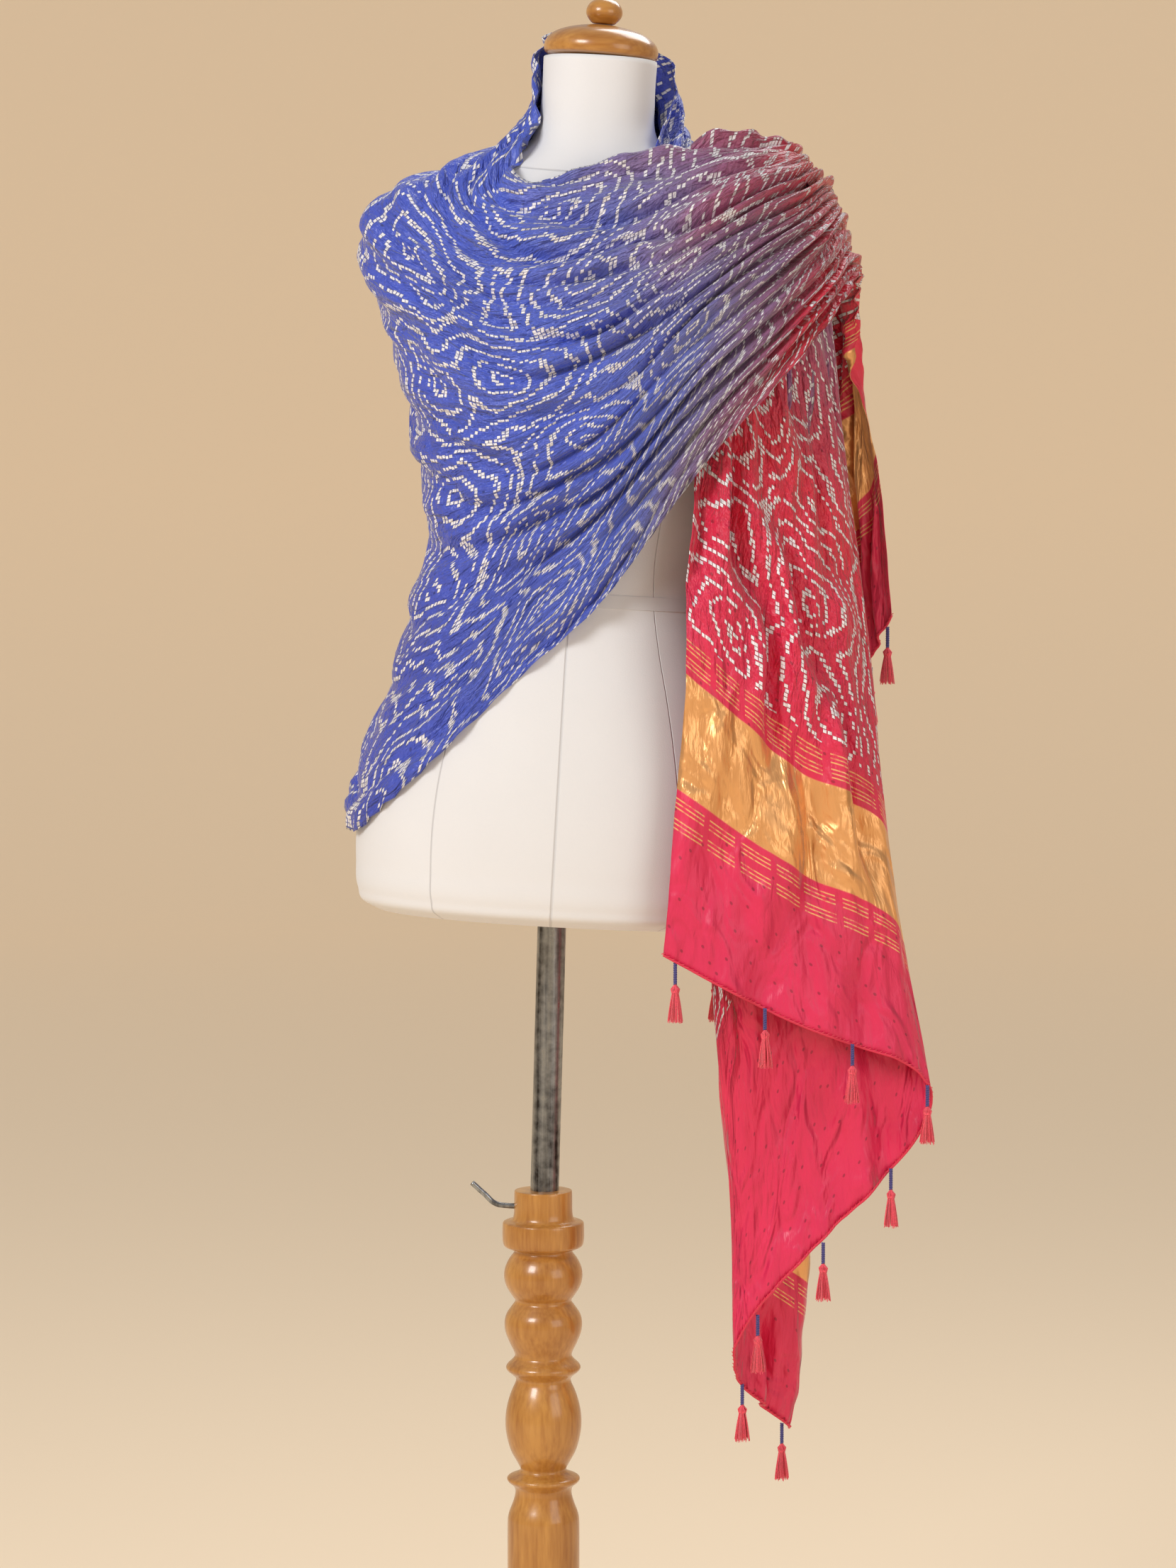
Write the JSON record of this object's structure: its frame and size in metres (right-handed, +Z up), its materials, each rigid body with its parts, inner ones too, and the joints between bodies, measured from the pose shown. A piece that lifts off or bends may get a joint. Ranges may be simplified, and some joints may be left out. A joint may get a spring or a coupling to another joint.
{
  "type": "bandhani cloth on a dress form stand",
  "caption": "Tie-dyed silk cloth with gold end bands and tassels, draped over the shoulders of a cotton dress form on a turned wooden post.",
  "frame": {"origin": "on the floor, under the middle of the round base", "axes": "+Z up, -Y is the front of the form, +X is the viewer's right, where the cloth's front end hangs"},
  "size_m": [0.5343, 0.42, 1.6083],
  "materials": {
    "bandhani_silk": "soft satin sheen",
    "coral_thread": "matt thread",
    "navy_thread": "matt thread",
    "form_cotton": "matt, smooth",
    "honey_wood": "varnished, glossy",
    "worn_steel": "dark, worn"
  },
  "bodies": {
    "root": {"bandhani_cloth": "bandhani_silk", "dress_form": "form_cotton", "neck_cap": "honey_wood", "cap_knob": "honey_wood", "pole": "worn_steel", "clamp_lever": "worn_steel", "post": "honey_wood", "base": "honey_wood", "tassel_front_1": "coral_thread", "tassel_cord_front_1": "navy_thread", "tassel_front_2": "coral_thread", "tassel_cord_front_2": "navy_thread", "tassel_front_3": "coral_thread", "tassel_cord_front_3": "navy_thread", "tassel_front_4": "coral_thread", "tassel_cord_front_4": "navy_thread", "tassel_front_5": "coral_thread", "tassel_cord_front_5": "navy_thread", "tassel_front_6": "coral_thread", "tassel_cord_front_6": "navy_thread", "tassel_front_7": "coral_thread", "tassel_cord_front_7": "navy_thread", "tassel_front_8": "coral_thread", "tassel_cord_front_8": "navy_thread", "tassel_front_9": "coral_thread", "tassel_cord_front_9": "navy_thread", "tassel_back_1": "coral_thread", "tassel_cord_back_1": "navy_thread", "tassel_back_2": "coral_thread", "tassel_cord_back_2": "navy_thread", "tassel_back_3": "coral_thread", "tassel_cord_back_3": "navy_thread", "tassel_back_4": "coral_thread", "tassel_cord_back_4": "navy_thread", "tassel_back_5": "coral_thread", "tassel_cord_back_5": "navy_thread", "tassel_back_6": "coral_thread", "tassel_cord_back_6": "navy_thread", "tassel_back_7": "coral_thread", "tassel_cord_back_7": "navy_thread", "tassel_back_8": "coral_thread", "tassel_cord_back_8": "navy_thread", "tassel_back_9": "coral_thread", "tassel_cord_back_9": "navy_thread"}
  },
  "joints": []
}
